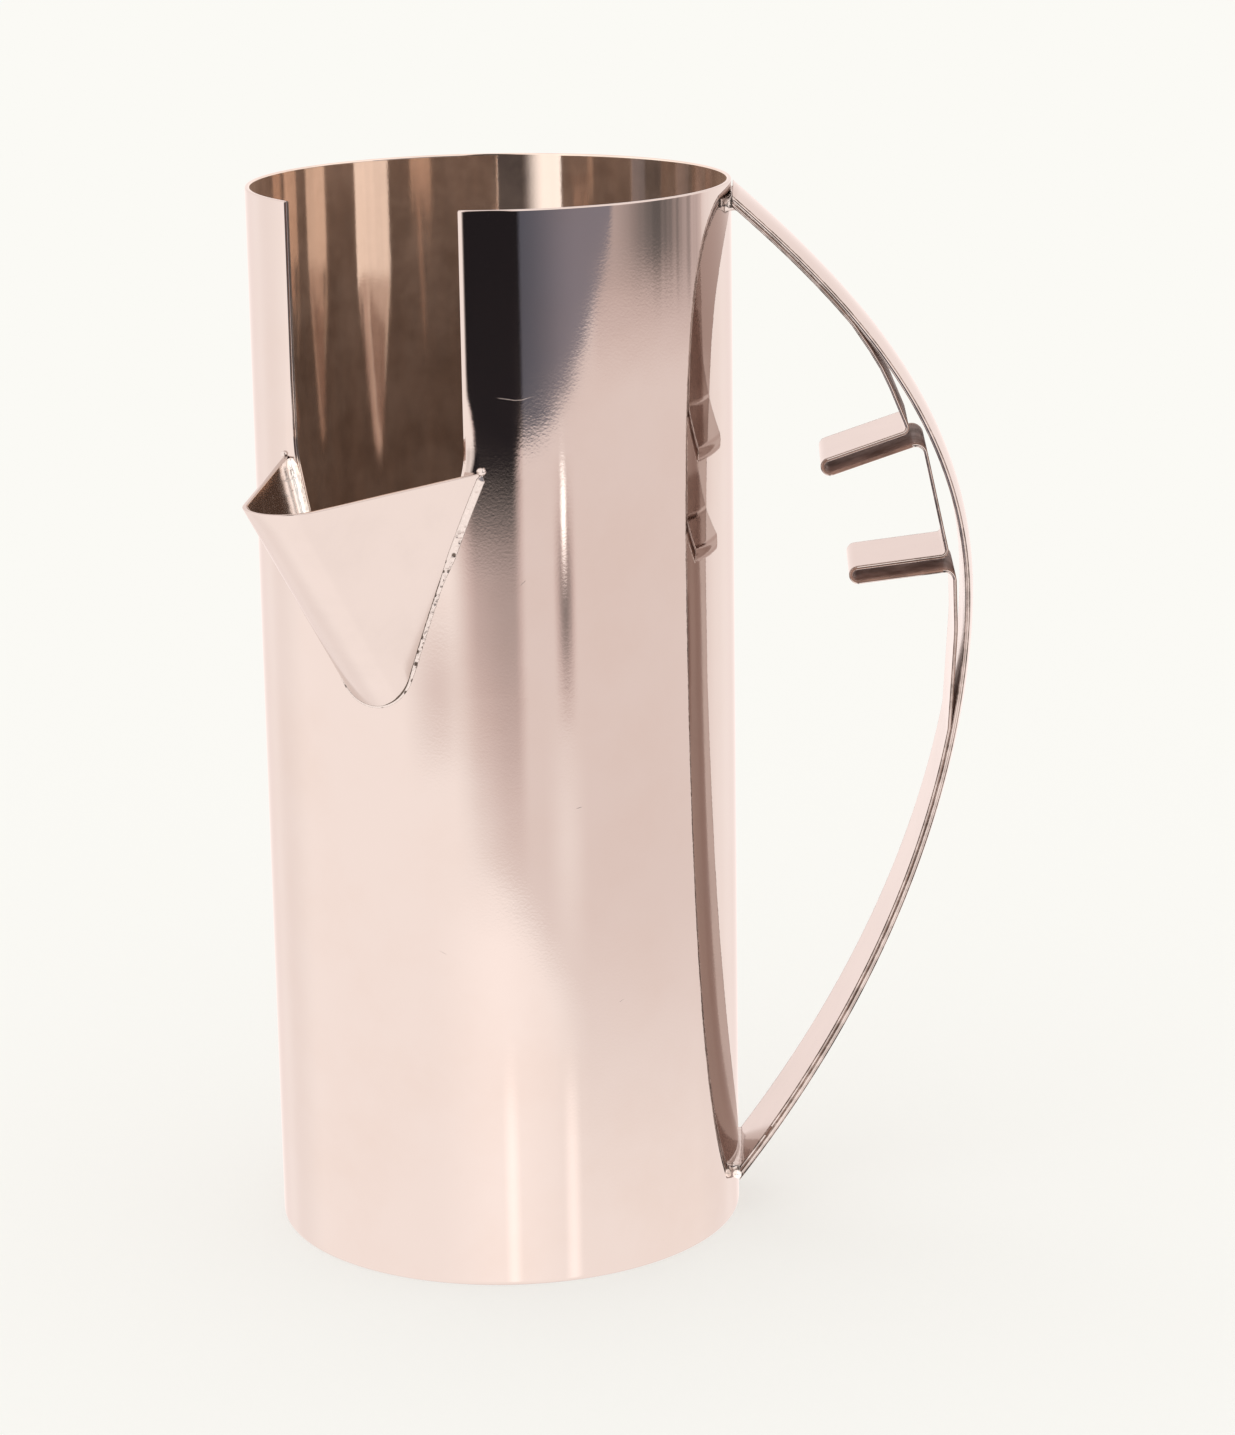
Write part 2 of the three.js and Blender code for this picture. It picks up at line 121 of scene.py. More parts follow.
# Solder
BEAD_SIDES = 20
SEAM_SIZE = 1.15
SEAM_BEADED_SIZE = 0.55
SEAM_LINE_SIZE = 0.28
SEAM_BEADED_FROM = 0.17  # shares of the way round the seam, from the right
SEAM_LINE_FROM = 0.38
SEAM_CHANGE = 0.05
SEAM_RISE = 0.75  # height of the fillet for its width
SEAM_LIFT = 0.015
CORNER_DROPS = (  # side, sign of its Y, length, seed of its lumps
    ("right", 1, 1.05, 12.0),
    ("left", -1, 0.85, 10.0),
)
INNER_RUN_RADIUS = 1.25
INNER_RUN_OFFSET = (1.25, 1.2, 0.0)  # from the corner, so that the run stays inside the sheet
FOOT_DROP_LENGTH = 1.9
FOOT_DROP_RADIUS = 0.95
FOOT_DROP_FALL = 1.75  # below the corner under the handle

# Materials. The glows stand in for light passed back and forth in hollows that renders give up on.
SILVER_COLOR = (0.60, 0.525, 0.495)
WORN_COLOR = (0.585, 0.5, 0.463)
SCRATCH_COLOR = (0.3, 0.26, 0.24)
DULL_COLOR = (0.73, 0.63, 0.56)  # the unpolished inside
# Dark tarnish in the solder's pits, and painted shade along the spout's seam and the handle's edges.
TARNISH_AND_SHADE_COLOR = (0.10, 0.075, 0.06)
SHELTERED_COLOR = (0.36, 0.21, 0.165)
BODY_SIDE_SHADE_COLOR = (0.48, 0.40, 0.37)  # painted shade on faces turned to the body, high on the handle
SOLDER_COLOR = (0.64, 0.57, 0.54)
INNER_GLOW = (0.056, 0.038, 0.029)
SHELTERED_GLOW = (0.035, 0.019, 0.015)
RUN_GLOW = (0.58, 0.54, 0.50)
BODY_ROUGHNESS = (0.022, 0.045)  # where clean, and where smudged
SPOUT_ROUGHNESS = (0.1, 0.17)
HANDLE_ROUGHNESS = (0.07, 0.14)
SHELTERED_ROUGHNESS = (0.35, 0.5)
SOLDER_ROUGHNESS = (0.14, 0.32)
SMUDGES = (0.3, 0.75)  # the noise where smudges, wear and clouds set in, and where they are full
WEAR = (0.35, 0.8)
SHELTERED_CLOUDS = (0.3, 0.7)

# Small scratches on the front of the body: degrees round it, height, half length, half width, tilt
SCRATCHES = (
    (-83.2, 190.3, 2.2, 0.055, -0.16),
    (-80.6, 190.0, 1.5, 0.05, 0.02),
    (-78.9, 190.2, 1.3, 0.05, 0.25),
    (-68.0, 104.3, 0.9, 0.12, 0.2),
    (-80.2, 152.5, 0.6, 0.08, 0.9),
    (-101.0, 74.0, 1.2, 0.07, -0.5),
    (-58.0, 61.0, 1.0, 0.07, 0.4),
)

# Studio, in metres
FLOOR_GREY = 0.5
FLOOR_HALF_WIDTH = 30.0
WORLD_COLOR = (0.965, 0.956, 0.913)
SURROUND_RADIUS = 20.0
SURROUND_LIGHT = (1.5, 1.405, 1.35)
SURROUND_SHADE = (1.68, 1.40, 1.32)  # warmer where it is dimmer
SURROUND_TURN = 4.0  # degrees, towards the camera
GAP_DARK = (0.025, 0.022, 0.025)
GAP_BLUE = (0.15, 0.16, 0.2)
GAP_GREY = (0.35, 0.33, 0.38)

# Spots of the surround, in degrees: level, azimuth, half width, rise, half height
TABLE_GLOW = (1.15, 31.0, 12.0, -16.2, 2.6)
SHADE_END = (0.74, -30.0, 20.0, -13.8, 1.6)
UPRIGHT = (0.27, 32.0, 6.5, -12.4, 2.3)
GLINT = (4.2, 31.8, 2.1, -11.35, 1.2)

# Camera, in metres
CAMERA_AZIMUTH = math.radians(4.0)
CAMERA_DISTANCE = 0.811
CAMERA_HEIGHT = 0.32305
CAMERA_HEADING = math.radians(2.207)
CAMERA_TILT = math.radians(14.667)
CAMERA_ROLL = math.radians(-0.894)
CAMERA_LENS = 96.54


# ---- mesh helpers

def turned(point, angle=SPOUT_AZIMUTH):
    """A point of the spout's own frame, where the spout lies along +X, in the body's frame."""
    x, y, z = point
    return (x * cos(angle) - y * sin(angle), x * sin(angle) + y * cos(angle), z)


def polar(angle, radius, height):
    return (radius * cos(angle), radius * sin(angle), height)


def spread(start, end, count):
    """count + 1 even values from start to end."""
    return [start + (end - start) * i / count for i in range(count + 1)]


def flat(loops):
    return [point for loop in loops for point in loop]


def bridge(loops, closed=True):
    """Quads between consecutive rows of equally many points."""
    width = len(loops[0])
    faces = []
    for row in range(len(loops) - 1):
        for i in range(width if closed else width - 1):
            j = (i + 1) % width
            faces.append((row * width + i, row * width + j, (row + 1) * width + j, (row + 1) * width + i))
    return faces


def slab_cap(first, width, flip):
    """Closes a flat slab's outline, whose point i faces point width - 1 - i."""
    faces = []
    for i in range(width // 2 - 1):
        face = (first + i, first + i + 1, first + width - 2 - i, first + width - 1 - i)
        faces.append(face[::-1] if flip else face)
    return faces


def capped(loops):
    """The faces of a run of rings, with one face over each end."""
    width = len(loops[0])
    last = width * (len(loops) - 1)
    return bridge(loops) + [tuple(range(width))[::-1], tuple(range(last, last + width))]


def slab_faces(loops):
    """The faces of a run of flat slabs' outlines, closed at both ends."""
    width = len(loops[0])
    return bridge(loops) + slab_cap(0, width, True) + slab_cap(width * (len(loops) - 1), width, False)


def add_piece(name, points, faces, material, nodes):
    mesh = bpy.data.meshes.new(name)
    mesh.from_pydata([Vector(p) * MM for p in points], [], faces)
    work = bmesh.new()
    work.from_mesh(mesh)
    bmesh.ops.remove_doubles(work, verts=work.verts, dist=0.002 * MM)
    bmesh.ops.recalc_face_normals(work, faces=work.faces)
    work.to_mesh(mesh)
    work.free()
    for polygon in mesh.polygons:
        polygon.use_smooth = True
    piece = bpy.data.objects.new(name, mesh)
    bpy.context.scene.collection.objects.link(piece)
    mesh.materials.append(material)
    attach(piece, "root")
    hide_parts(*nodes)
    return piece


# ---- body

def throat_outline():
    """Half the opening's edge, from the throat's bottom to the rim, as (arc round the body, height)."""
    degrees_and_heights = []
    for turn in spread(pi / 2, 0, 10):
        height = THROAT_SHOULDER - (THROAT_SHOULDER - THROAT_BOTTOM) * sin(turn)
        degrees_and_heights.append((THROAT_SHOULDER_ANGLE * cos(turn), height))
    bend_foot = WINDOW_BEND_TOP - WINDOW_BEND
    for t in spread(0, 1, 12)[1:]:
        angle = THROAT_SHOULDER_ANGLE + (WINDOW_HALF_ANGLE - 1 - THROAT_SHOULDER_ANGLE) * t
        degrees_and_heights.append((angle, THROAT_SHOULDER + (bend_foot - THROAT_SHOULDER) * t))
    for t in spread(1, 0, 8)[1:]:
        degrees_and_heights.append((WINDOW_HALF_ANGLE - t * t, WINDOW_BEND_TOP - WINDOW_BEND * t))
    for height in spread(WINDOW_BEND_TOP, BODY_HEIGHT, 12)[1:]:
        degrees_and_heights.append((WINDOW_HALF_ANGLE, height))
    return [Vector((math.radians(a) * BODY_RADIUS, h)) for a, h in degrees_and_heights]


def wall_rows():
    """For each row: the edge point, and the direction from it into the wall, in the unrolled wall."""
    outline = throat_outline()
    rows = []
    for i, point in enumerate(outline):
        ahead = outline[min(i + 1, len(outline) - 1)]
        behind = outline[i - 1] if i else Vector((-outline[1].x, outline[1].y))
        along = (ahead - behind).normalized()
        rows.append((point, Vector((along.y, -along.x))))
    return rows


def straighten(base, edge_angle):
    """Columns start at the opening's edge and run upright a quarter turn away from it."""
    quarter = pi / 2
    if base >= quarter:
        return base
    return base + edge_angle * (1 - base / quarter) ** 2


def dressing(away, height):
    """How deep the wall is rubbed down this far away from the window's edge."""
    foot = max(0.0, 1 - abs(height - WINDOW_BEND_TOP) / DRESSED_FOOT_HEIGHT)
    width = DRESSED_WIDTH + (DRESSED_WIDTH_AT_FOOT - DRESSED_WIDTH) * foot * foot * (3 - 2 * foot)
    if height < WINDOW_BEND_TOP - 2 * WINDOW_BEND or away >= width:
        return 0.0
    return EDGE_DRESSING * (width - away) * min(1.0, (width - away) / (DRESSED_BLEND * width))


def half_section(bases, point, inward, inset, height):
    """From the middle of the edge's face over the outer face to the back: (angle, depth, height)."""
    section = []
    for turn in spread(0, pi / 2, 4):
        at = point + inward * (inset + EDGE_ROUNDING * (1 - sin(turn)))
        depth = inset + EDGE_ROUNDING * (1 - cos(pi / 2 - turn))
        section.append((at.x / BODY_RADIUS, depth, at.y))
    for away in (2 * EDGE_ROUNDING, 3 * EDGE_ROUNDING, EDGE_STRIP):
        at = point + inward * away
        section.append((at.x / BODY_RADIUS, inset, at.y))
    strip = point + inward * EDGE_STRIP
    for base in bases[1:]:
        section.append((straighten(base, strip.x / BODY_RADIUS), inset, strip.y))
    if height is not None:
        section = [(angle, depth, height) for angle, depth, _ in section]
    return [(a, d + dressing(abs(a * BODY_RADIUS - point.x), h), h) for a, d, h in section]


def wall_loop(bases, point, inward, inset=0.0, height=None):
    """Round the wall's outer face from one edge of the opening to the other, and back inside."""
    section = half_section(bases, point, inward, inset, height)
    outer = [(-a, d, h) for a, d, h in section] + section[-2::-1]
    inner = []
    for a, d, h in outer[::-1]:
        rub = dressing(abs(abs(a) * BODY_RADIUS - point.x), h)
        inner.append((a, WALL - (d - rub) + rub / 2, h))
    return [turned(polar(a, BODY_RADIUS - d, h)) for a, d, h in outer + inner]


def build_tube(material):
    bases = spread(0, pi, COLUMNS // 2)
    rows = wall_rows()
    rim_point, rim_inward = rows[-1]
    loops = [wall_loop(bases, point, inward) for point, inward in rows[:-1]]
    loops.append(wall_loop(bases, rim_point, rim_inward, height=BODY_HEIGHT - 2 * EDGE_ROUNDING))
    for turn in spread(0, pi / 2, 4):
        inset = EDGE_ROUNDING * (1 - cos(turn))
        height = BODY_HEIGHT - EDGE_ROUNDING * (1 - sin(turn))
        loops.append(wall_loop(bases, rim_point, rim_inward, inset, height))
    width = len(loops[0])
    points = flat(loops)
    faces = bridge(loops) + slab_cap(width * (len(loops) - 1), width, False)

    # Below the throat the wall is a plain ring with a rounded foot.
    strip_foot = THROAT_BOTTOM - EDGE_STRIP
    profile = [(0.0, h) for h in spread(strip_foot, 2 * FOOT_ROUNDING, 24)]
    for turn in spread(0, pi / 2, 6):
        profile.append((FOOT_ROUNDING * (1 - cos(turn)), FOOT_ROUNDING * (1 - sin(turn))))
    for turn in spread(0, pi / 2, 3):
        depth = WALL - INNER_FOOT_ROUNDING * (1 - sin(turn))
        profile.append((depth, INNER_FOOT_ROUNDING * (1 - cos(turn))))
    profile += [(WALL, h) for h in spread(4 * INNER_FOOT_ROUNDING, strip_foot, 24)]
    angles = bases + [2 * pi - b for b in bases[-2:0:-1]]
    lower = [[turned(polar(a, BODY_RADIUS - d, h)) for a in angles] for d, h in profile]
    start = len(points)
    points += flat(lower)
    faces += [tuple(start + k for k in face) for face in bridge(lower)]
    add_piece("tube_wall", points, faces, material, ["body_tube"])


def build_base(metal, solder):
    rim = BODY_RADIUS - WALL - FIT
    middle = 0.01  # a tiny hole, closed by one face
    cut = 0.3 * BASE_ROUNDING
    profile = [(middle, 0.0), (rim - 2 * BASE_ROUNDING, 0.0), (rim - BASE_ROUNDING, 0.0)]
    profile += [(rim - cut, cut), (rim, BASE_ROUNDING), (rim, BASE_THICKNESS)]
    profile += [(r, BASE_THICKNESS) for r in spread(rim - 1, middle, 12)]
    turns = spread(0, 2 * pi, 120)[:-1]
    loops = [[polar(a, r, h) for r, h in profile] for a in turns]
    loops.append(loops[0])
    faces = bridge(loops, closed=False)
    count = len(profile)
    faces.append(tuple(i * count for i in range(len(turns))))
    faces.append(tuple(i * count + count - 1 for i in range(len(turns))))
    add_piece("base_plate", flat(loops), faces, metal, ["base_disc"])

    # The solder is a concave ring in the corner between the base and the wall.
    floor = BASE_THICKNESS + FIT
    section = []
    for turn in spread(0, pi / 2, 8):
        rise = BASE_FILLET * (1 - cos(turn))
        section.append((rim - BASE_FILLET * (1 - sin(turn)), floor + rise))
    section.append((rim, floor))
    loops = []
    for angle in turns + turns[:1]:
        wave = 1 + 0.12 * noise.noise(Vector(polar(angle, 3, 7)))
        loops.append([polar(angle, rim - (rim - r) * wave, h) for r, h in section])
    add_piece("base_fillet", flat(loops), bridge(loops), solder, ["base_solder_ring"])


# ---- spout

def flank_point(run, depth):
    """A point of the trough's section at tip height, run along the flank from the nose, depth inside."""
    tangent = pi / 2 - TROUGH_HALF_ANGLE
    radius = NOSE_RADIUS - depth
    x = NOSE_CENTRE + radius * cos(tangent) - run * cos(TROUGH_HALF_ANGLE)
    y = radius * sin(tangent) + run * sin(TROUGH_HALF_ANGLE)
    return x, y


def wall_reach(across):
    """How far out the body's wall is, this far to one side of a line out from its axis."""
    return math.sqrt((BODY_RADIUS + FIT) ** 2 - across ** 2)


def slide_limits(x, y):
    """How far a section point slides, in reach, to meet the body and the lip."""
    to_body = wall_reach(y) - x
    lip_height = LIP_HEIGHT_AT_BODY - LIP_FALL * (x - LIP_REACH_AT_BODY)
    return to_body, (lip_height - TIP_HEIGHT) / (RIDGE_SLOPE + LIP_FALL)


def flank_length(depth):
    low, high = 0.0, 60.0
    for _ in range(50):
        run = (low + high) / 2
        to_body, to_lip = slide_limits(*flank_point(run, depth))
        if to_body < to_lip:
            low = run
        else:
            high = run
    return low


def trough_section(depth, flank_steps=28, nose_steps=28):
    """The section from the right flank's far end round the nose to the left flank's, at one depth."""
    length = flank_length(depth)
    side = [flank_point(length * (1 - t), depth) for t in spread(0, 1, flank_steps)]
    radius = NOSE_RADIUS - depth
    tangent = pi / 2 - TROUGH_HALF_ANGLE
    nose = []
    for turn in spread(tangent, -tangent, nose_steps)[1:-1]:
        nose.append((NOSE_CENTRE + radius * cos(turn), radius * sin(turn)))
    return side + nose + [(x, -y) for x, y in side[::-1]]


def slid(x, y, slide):
    return (x + slide, y, TIP_HEIGHT + RIDGE_SLOPE * slide)


def build_spout(material):
    stretch = math.hypot(1, RIDGE_SLOPE)
    lip = []  # over the lip: (depth, drop below it)
    for turn in spread(0, pi / 2, 4):
        lip.append((LIP_ROUNDING * (1 - cos(turn)), LIP_ROUNDING * (1 - sin(turn))))
    lip += [(SPOUT_SHEET - depth, drop) for depth, drop in lip[::-1]]
    shares = [1.0, 0.997, 0.99] + spread(1, 0, 14)[1:-1]  # close rows keep the foot's edge crisp
    loop = [(0.0, None, share) for share in shares] + [(d, drop, 0) for d, drop in lip]
    loop += [(SPOUT_SHEET, None, share) for share in shares[::-1]]
    rows = []
    for depth, drop, share in loop:
        row = []
        for x, y in trough_section(depth):
            to_body, to_lip = slide_limits(x, y)
            length = max(to_lip - to_body, 0.0)
            band = min(LIP_ROUNDING + LIP_BAND, 0.45 * length)  # narrower where the flank is short
            if drop is None:
                slide = to_lip - band - (length - band) * share
            else:
                slide = to_lip - min(drop, drop / LIP_ROUNDING * length * 0.4) / stretch
            row.append(turned(slid(x, y, slide)))
        rows.append(row)
    columns = list(zip(*rows))
    faces = slab_faces(columns)
    add_piece("spout_trough", flat(columns), faces, material, ["spout_sheet"])


# ---- handle

def bezier(p0, p1, p2, p3, count):
    points = []
    for t in spread(0, 1, count):
        u = 1 - t
        points.append(p0 * u ** 3 + p1 * (3 * u * u * t) + p2 * (3 * u * t * t) + p3 * t ** 3)
    return points


def even_steps(line, count):
    """The line again, with its points evenly spaced."""
    lengths = [0.0]
    for a, b in zip(line, line[1:]):
        lengths.append(lengths[-1] + (b - a).length)
    result, k = [], 0
    for want in spread(0, lengths[-1], count):
        while k < len(line) - 2 and lengths[k + 1] < want:
            k += 1
        share = (want - lengths[k]) / (lengths[k + 1] - lengths[k])
        result.append(line[k].lerp(line[k + 1], min(max(share, 0.0), 1.0)))
    return result


def tangents(line):
    return [(line[min(i + 1, len(line) - 1)] - line[max(i - 1, 0)]).normalized() for i in range(len(line))]


def strap_line():
    """The strap's outer edge in the handle's plane, from the rim to the foot, as (reach, height)."""
    top = Vector(HANDLE_TOP)
    widest = Vector((HANDLE_REACH, HANDLE_WIDEST_HEIGHT))
    foot = Vector(HANDLE_BOTTOM)
    upper = bezier(top, top + Vector(HANDLE_TOP_PULL), widest + Vector(HANDLE_UPWARD_PULL), widest, 80)
    lower = bezier(widest, widest + Vector(HANDLE_DOWNWARD_PULL), foot + Vector(HANDLE_BOTTOM_PULL),
                   foot + Vector(HANDLE_BOTTOM_SHIFT), 80)
    return even_steps(upper + lower[1:], 200)


def beside(line, depth):
    """The line moved depth towards the body."""
    return [p + Vector((t.y, -t.x)) * depth for p, t in zip(line, tangents(line))]


def round_corners(corners, step=0.12):
    """Replaces each corner (reach, height, radius) of a line by an arc of that radius."""
    line = []
    for i, (reach, height, radius) in enumerate(corners):
        corner = Vector((reach, height))
        if not radius:
            line.append(corner)
            continue
        back = (Vector(corners[i - 1][:2]) - corner).normalized()
        ahead = (Vector(corners[i + 1][:2]) - corner).normalized()
        half = back.angle(ahead) / 2
        centre = corner + (back + ahead).normalized() * (radius / sin(half))
        start = corner + back * (radius / math.tan(half)) - centre
        end = corner + ahead * (radius / math.tan(half)) - centre
        sweep = math.atan2(start.x * end.y - start.y * end.x, start.dot(end))
        for turn in spread(0, sweep, max(2, math.ceil(abs(sweep) / step))):
            c, s = cos(turn), sin(turn)
            line.append(centre + Vector((start.x * c - start.y * s, start.x * s + start.y * c)))
    return line


def rest_corners(root_reach, root_height, tip_reach, slope, out_reach):
    """A finger rest: in from the root, round the tip and out again below."""
    angle = math.atan(slope)
    inward = Vector((-cos(angle), -sin(angle)))
    down = Vector((sin(angle), -cos(angle))) * REST_SPACING
    root = Vector((root_reach, root_height))
    tip = root + inward * ((root_reach - tip_reach - RIBBON_THICKNESS / 2) / cos(angle))
    back = tip + down
    out = back - inward * ((out_reach - back.x) / cos(angle))
    fold = REST_SPACING / 2 - 0.02
    return [(*root, REST_BEND), (*tip, fold), (*back, fold), (*out, REST_OUTER_BEND)]


def slab_profile(half_width, thickness, crown, radius, steps):
    """A flat strip's section from one side over the outer face to the other, then back inside."""
    def bulge(across):
        return -crown * (1 - (across / half_width) ** 2)

    outer = []
    for turn in spread(0, pi / 2, 4):
        across = -half_width + radius * (1 - sin(turn))
        outer.append((across, radius * (1 - cos(pi / 2 - turn)) + bulge(across)))
    for across in spread(-half_width + radius + 0.4, 0, steps):
        outer.append((across, bulge(across)))
    outer += [(-a, d) for a, d in outer[-2::-1]]
    inner = [(across, thickness - (depth - bulge(across))) for across, depth in outer[::-1]]
    return outer + inner


def strip_loops(line, profile):
    """Sweeps a profile of (across, depth) along a line, and cuts both ends square at the body."""
    sides = [Vector((t.y, -t.x)) for t in tangents(line)]
    rails = [[point + side * depth for point, side in zip(line, sides)] for _, depth in profile]
    middle = len(line) // 2
    clear = STRAP_END_REACH + 0.1
    first = max(next(i for i in range(middle) if rail[i].x > clear) for rail in rails)
    last = min(next(i for i in range(len(line) - 1, middle, -1) if rail[i].x > clear) for rail in rails)

    def cut(rail, near, step):
        a = rail[near]
        b = rail[near + step] if 0 <= near + step < len(rail) else a + (a - rail[near - step])
        while b.x > STRAP_END_REACH:
            b = b + (b - a)
        return a.lerp(b, (a.x - STRAP_END_REACH) / (a.x - b.x))

    rows = [[cut(rail, first, -1) for rail in rails]]
    rows += [[rail[i] for rail in rails] for i in range(first, last + 1)]
    rows += [[cut(rail, last, 1) for rail in rails]]
    return [[(p.x, across, p.y) for p, (across, _) in zip(row, profile)] for row in rows]


def build_strip(name, line, profile, material, node):
    loops = strip_loops(line, profile)
    return add_piece(name, flat(loops), slab_faces(loops), material, [node])


def faces_strap(point, line):
    """Whether a point of the ribbon is on the side of its middle line that faces the strap."""
    if abs(point.y) > STRAP_WIDTH / 2 - 0.1:
        return False
    at = Vector((point.x, point.z))
    i = min(range(1, len(line) - 1), key=lambda k: (line[k] - at).length_squared)
    along, off = line[i + 1] - line[i - 1], at - line[i]
    return along.x * off.y - along.y * off.x > 0


def build_handle(material, sheltered):
    line = strap_line()
    strap = slab_profile(STRAP_WIDTH / 2, STRAP_EDGE, STRAP_CROWN, STRAP_ROUNDING, 10)
    build_strip("handle_strap", line, strap, material, "handle_outer_strap")

    lined = beside(line, STRAP_EDGE + FIT + RIBBON_THICKNESS / 2)
    half = len(lined) // 2
    upper = [p for p in lined[:half] if p.y > RIBBON_LEAVES]
    lower = [p for p in lined[half:] if p.y < RIBBON_RETURNS]
    rests = rest_corners(*UPPER_REST) + rest_corners(*LOWER_REST)
    corners = [(*upper[-1], 0), UPPER_BEND, *rests, LOWER_BEND, (*lower[0], 0)]
    whole = upper[:-1] + round_corners(corners) + lower[1:]
    section = slab_profile(STRAP_WIDTH / 2, RIBBON_THICKNESS, 0.0, RIBBON_ROUNDING, 8)
    section = [(across, depth - RIBBON_THICKNESS / 2) for across, depth in section]
    ribbon = build_strip("handle_ribbon", whole, section, material, "handle_inner_ribbon")
    ribbon.data.materials.append(sheltered)
    for polygon in ribbon.data.polygons:
        polygon.material_index = int(faces_strap(polygon.center / MM, whole))


# ---- solder

def lumpy(point, size, seed):
    """Smooth noise of about -1 to 1 with features of the given size."""
    return noise.noise(Vector(point) / size + Vector((seed, 2 * seed, 3 * seed)))


def build_bead(name, centres, radii, material, node, lump, seed):
    """A round bead along a line of points, lumpy, closed at both ends."""
    centres = [Vector(c) for c in centres]
    loops = []
    for centre, direction, radius in zip(centres, tangents(centres), radii):
        out = Vector((centre.x, centre.y, 0)).normalized()
        out = (out - direction * out.dot(direction)).normalized()
        side = direction.cross(out)
        ring = []
        for turn in spread(0, 2 * pi, BEAD_SIDES)[:-1]:
            spoke = (out * cos(turn) + side * sin(turn)) * radius
            at = centre + spoke
            swell = 1 + lump * lumpy(at, 0.55, seed) + 0.5 * lump * lumpy(at, 0.2, seed)
            ring.append(tuple(centre + spoke * swell))
        loops.append(ring)
    add_piece(name, flat(loops), capped(loops), material, [node])


def seam_size(share):
    """The seam fillet's size, its beading and its pitting, at a share of the way from right to left."""
    beaded = min(max((share - SEAM_BEADED_FROM) / SEAM_CHANGE, 0.0), 1.0)
    thin = min(max((share - SEAM_LINE_FROM) / SEAM_CHANGE, 0.0), 1.0)
    size = SEAM_SIZE + (SEAM_BEADED_SIZE - SEAM_SIZE) * beaded
    return size + (SEAM_LINE_SIZE - size) * thin, beaded * (1 - thin)


def toward(direction, hint):
    """The direction or its opposite, whichever points more the way of the hint."""
    return direction * math.copysign(1, direction.dot(hint))


def build_seam(material):
    """The fillet along the spout's seam: full, then beaded, on the right flank, a mere line on the left."""
    corners, outs = [], []
    for x, y in trough_section(0.0, 170, 80):
        to_body, _ = slide_limits(x, y)
        out = Vector((sin(TROUGH_HALF_ANGLE), math.copysign(cos(TROUGH_HALF_ANGLE), y)))
        if abs(y) < NOSE_RADIUS * cos(TROUGH_HALF_ANGLE):
            out = Vector((x - NOSE_CENTRE, y)).normalized()
        corners.append(Vector(slid(x, y, to_body)))
        outs.append(Vector((out.x, out.y, -out.x / RIDGE_SLOPE)).normalized())
    loops = []
    count = len(corners)
    for i in range(2, count - 2):
        corner, off_trough = corners[i], outs[i]
        along = (corners[i + 1] - corners[i - 1]).normalized()
        off_body = Vector((corner.x, corner.y, 0)).normalized()
        up_trough = toward(along.cross(off_trough), off_body)
        over_body = toward(along.cross(off_body), off_trough)
        size, beading = seam_size(i / count)
        size *= min(1.0, 0.2 + min(i - 2, count - 3 - i) / 5)  # thinner at both ends
        size *= 1 + 0.3 * beading * lumpy((0.35 * i, 0.0, 0.0), 0.8, 5.0)
        lift = (off_trough + off_body).normalized()
        start = corner + up_trough * size * SEAM_RISE + off_trough * SEAM_LIFT
        end = corner + over_body * size + off_body * SEAM_LIFT
        middle = corner + (up_trough * SEAM_RISE + over_body) * size * 0.3
        ring = [corner + lift * 0.01]
        for t in spread(0, 1, 9):
            u = 1 - t
            point = start * (u * u) + middle * (2 * u * t) + end * (t * t)
            bump = (0.05 + 0.3 * beading) * lumpy(point, 0.6, 3.0)
            bump += (0.02 + 0.2 * beading) * lumpy(point, 0.25, 4.0)
            ring.append(point + lift * size * sin(pi * t) * bump)
        loops.append([turned(point) for point in ring])
    add_piece("seam_fillet", flat(loops), capped(loops), material, ["spout_seam_solder"])


def build_corner_beads(material):
    """A drop of solder where each end of the lip meets the window."""
    x, y = flank_point(flank_length(0.0), 0.0)
    to_body, _ = slide_limits(x, y)
    for side, sign, size, seed in CORNER_DROPS:
        centre = Vector(slid(x, sign * y, to_body)) + Vector((0.1, -0.2 * sign, 0.25))
        centres, radii = [], []
        for turn in spread(0.08 * pi, 0.92 * pi, 14):
            centres.append(turned(centre + Vector((0, -sign * cos(turn) * size, 0))))
            radii.append(0.8 * size * sin(turn))
        node = "spout_corner_solder_" + side
        build_bead("corner_bead_" + side, centres, radii, material, node, lump=0.3, seed=seed)


def build_inner_run(material):
    """The left drop's run of solder, down the corner inside the spout."""
    length = flank_length(SPOUT_SHEET)
    steps = 70
    centres, radii = [], []
    for i, share in enumerate(spread(0.35, 0.995, steps)):
        x, y = flank_point(length * share, SPOUT_SHEET)
        to_body, _ = slide_limits(x, y)
        centres.append(turned(Vector(slid(x, -y, to_body)) + Vector(INNER_RUN_OFFSET)))
        ends = min(1.0, 0.15 + i / 14, 0.6 + (steps - 1 - i) / 8)
        radii.append(INNER_RUN_RADIUS * ends * (1 + 0.15 * lumpy((0, 0, i * 0.3), 1.1, 9.0)))
    build_bead("inner_run", centres, radii, material, "spout_corner_solder_left", lump=0.12, seed=10)


def stack_corner(end):
    """Where the ribbon's inner face reaches the strips' cut ends: the height, and the way from there."""
    line = beside(strap_line(), STACK_DEPTH)
    if end == "foot":
        line = line[::-1]
    for a, b in zip(line, line[1:]):
        if a.x <= STRAP_END_REACH <= b.x:
            corner = a.lerp(b, (STRAP_END_REACH - a.x) / (b.x - a.x))
            return corner.y, (b - a).normalized()
    return line[0].y, (line[1] - line[0]).normalized()


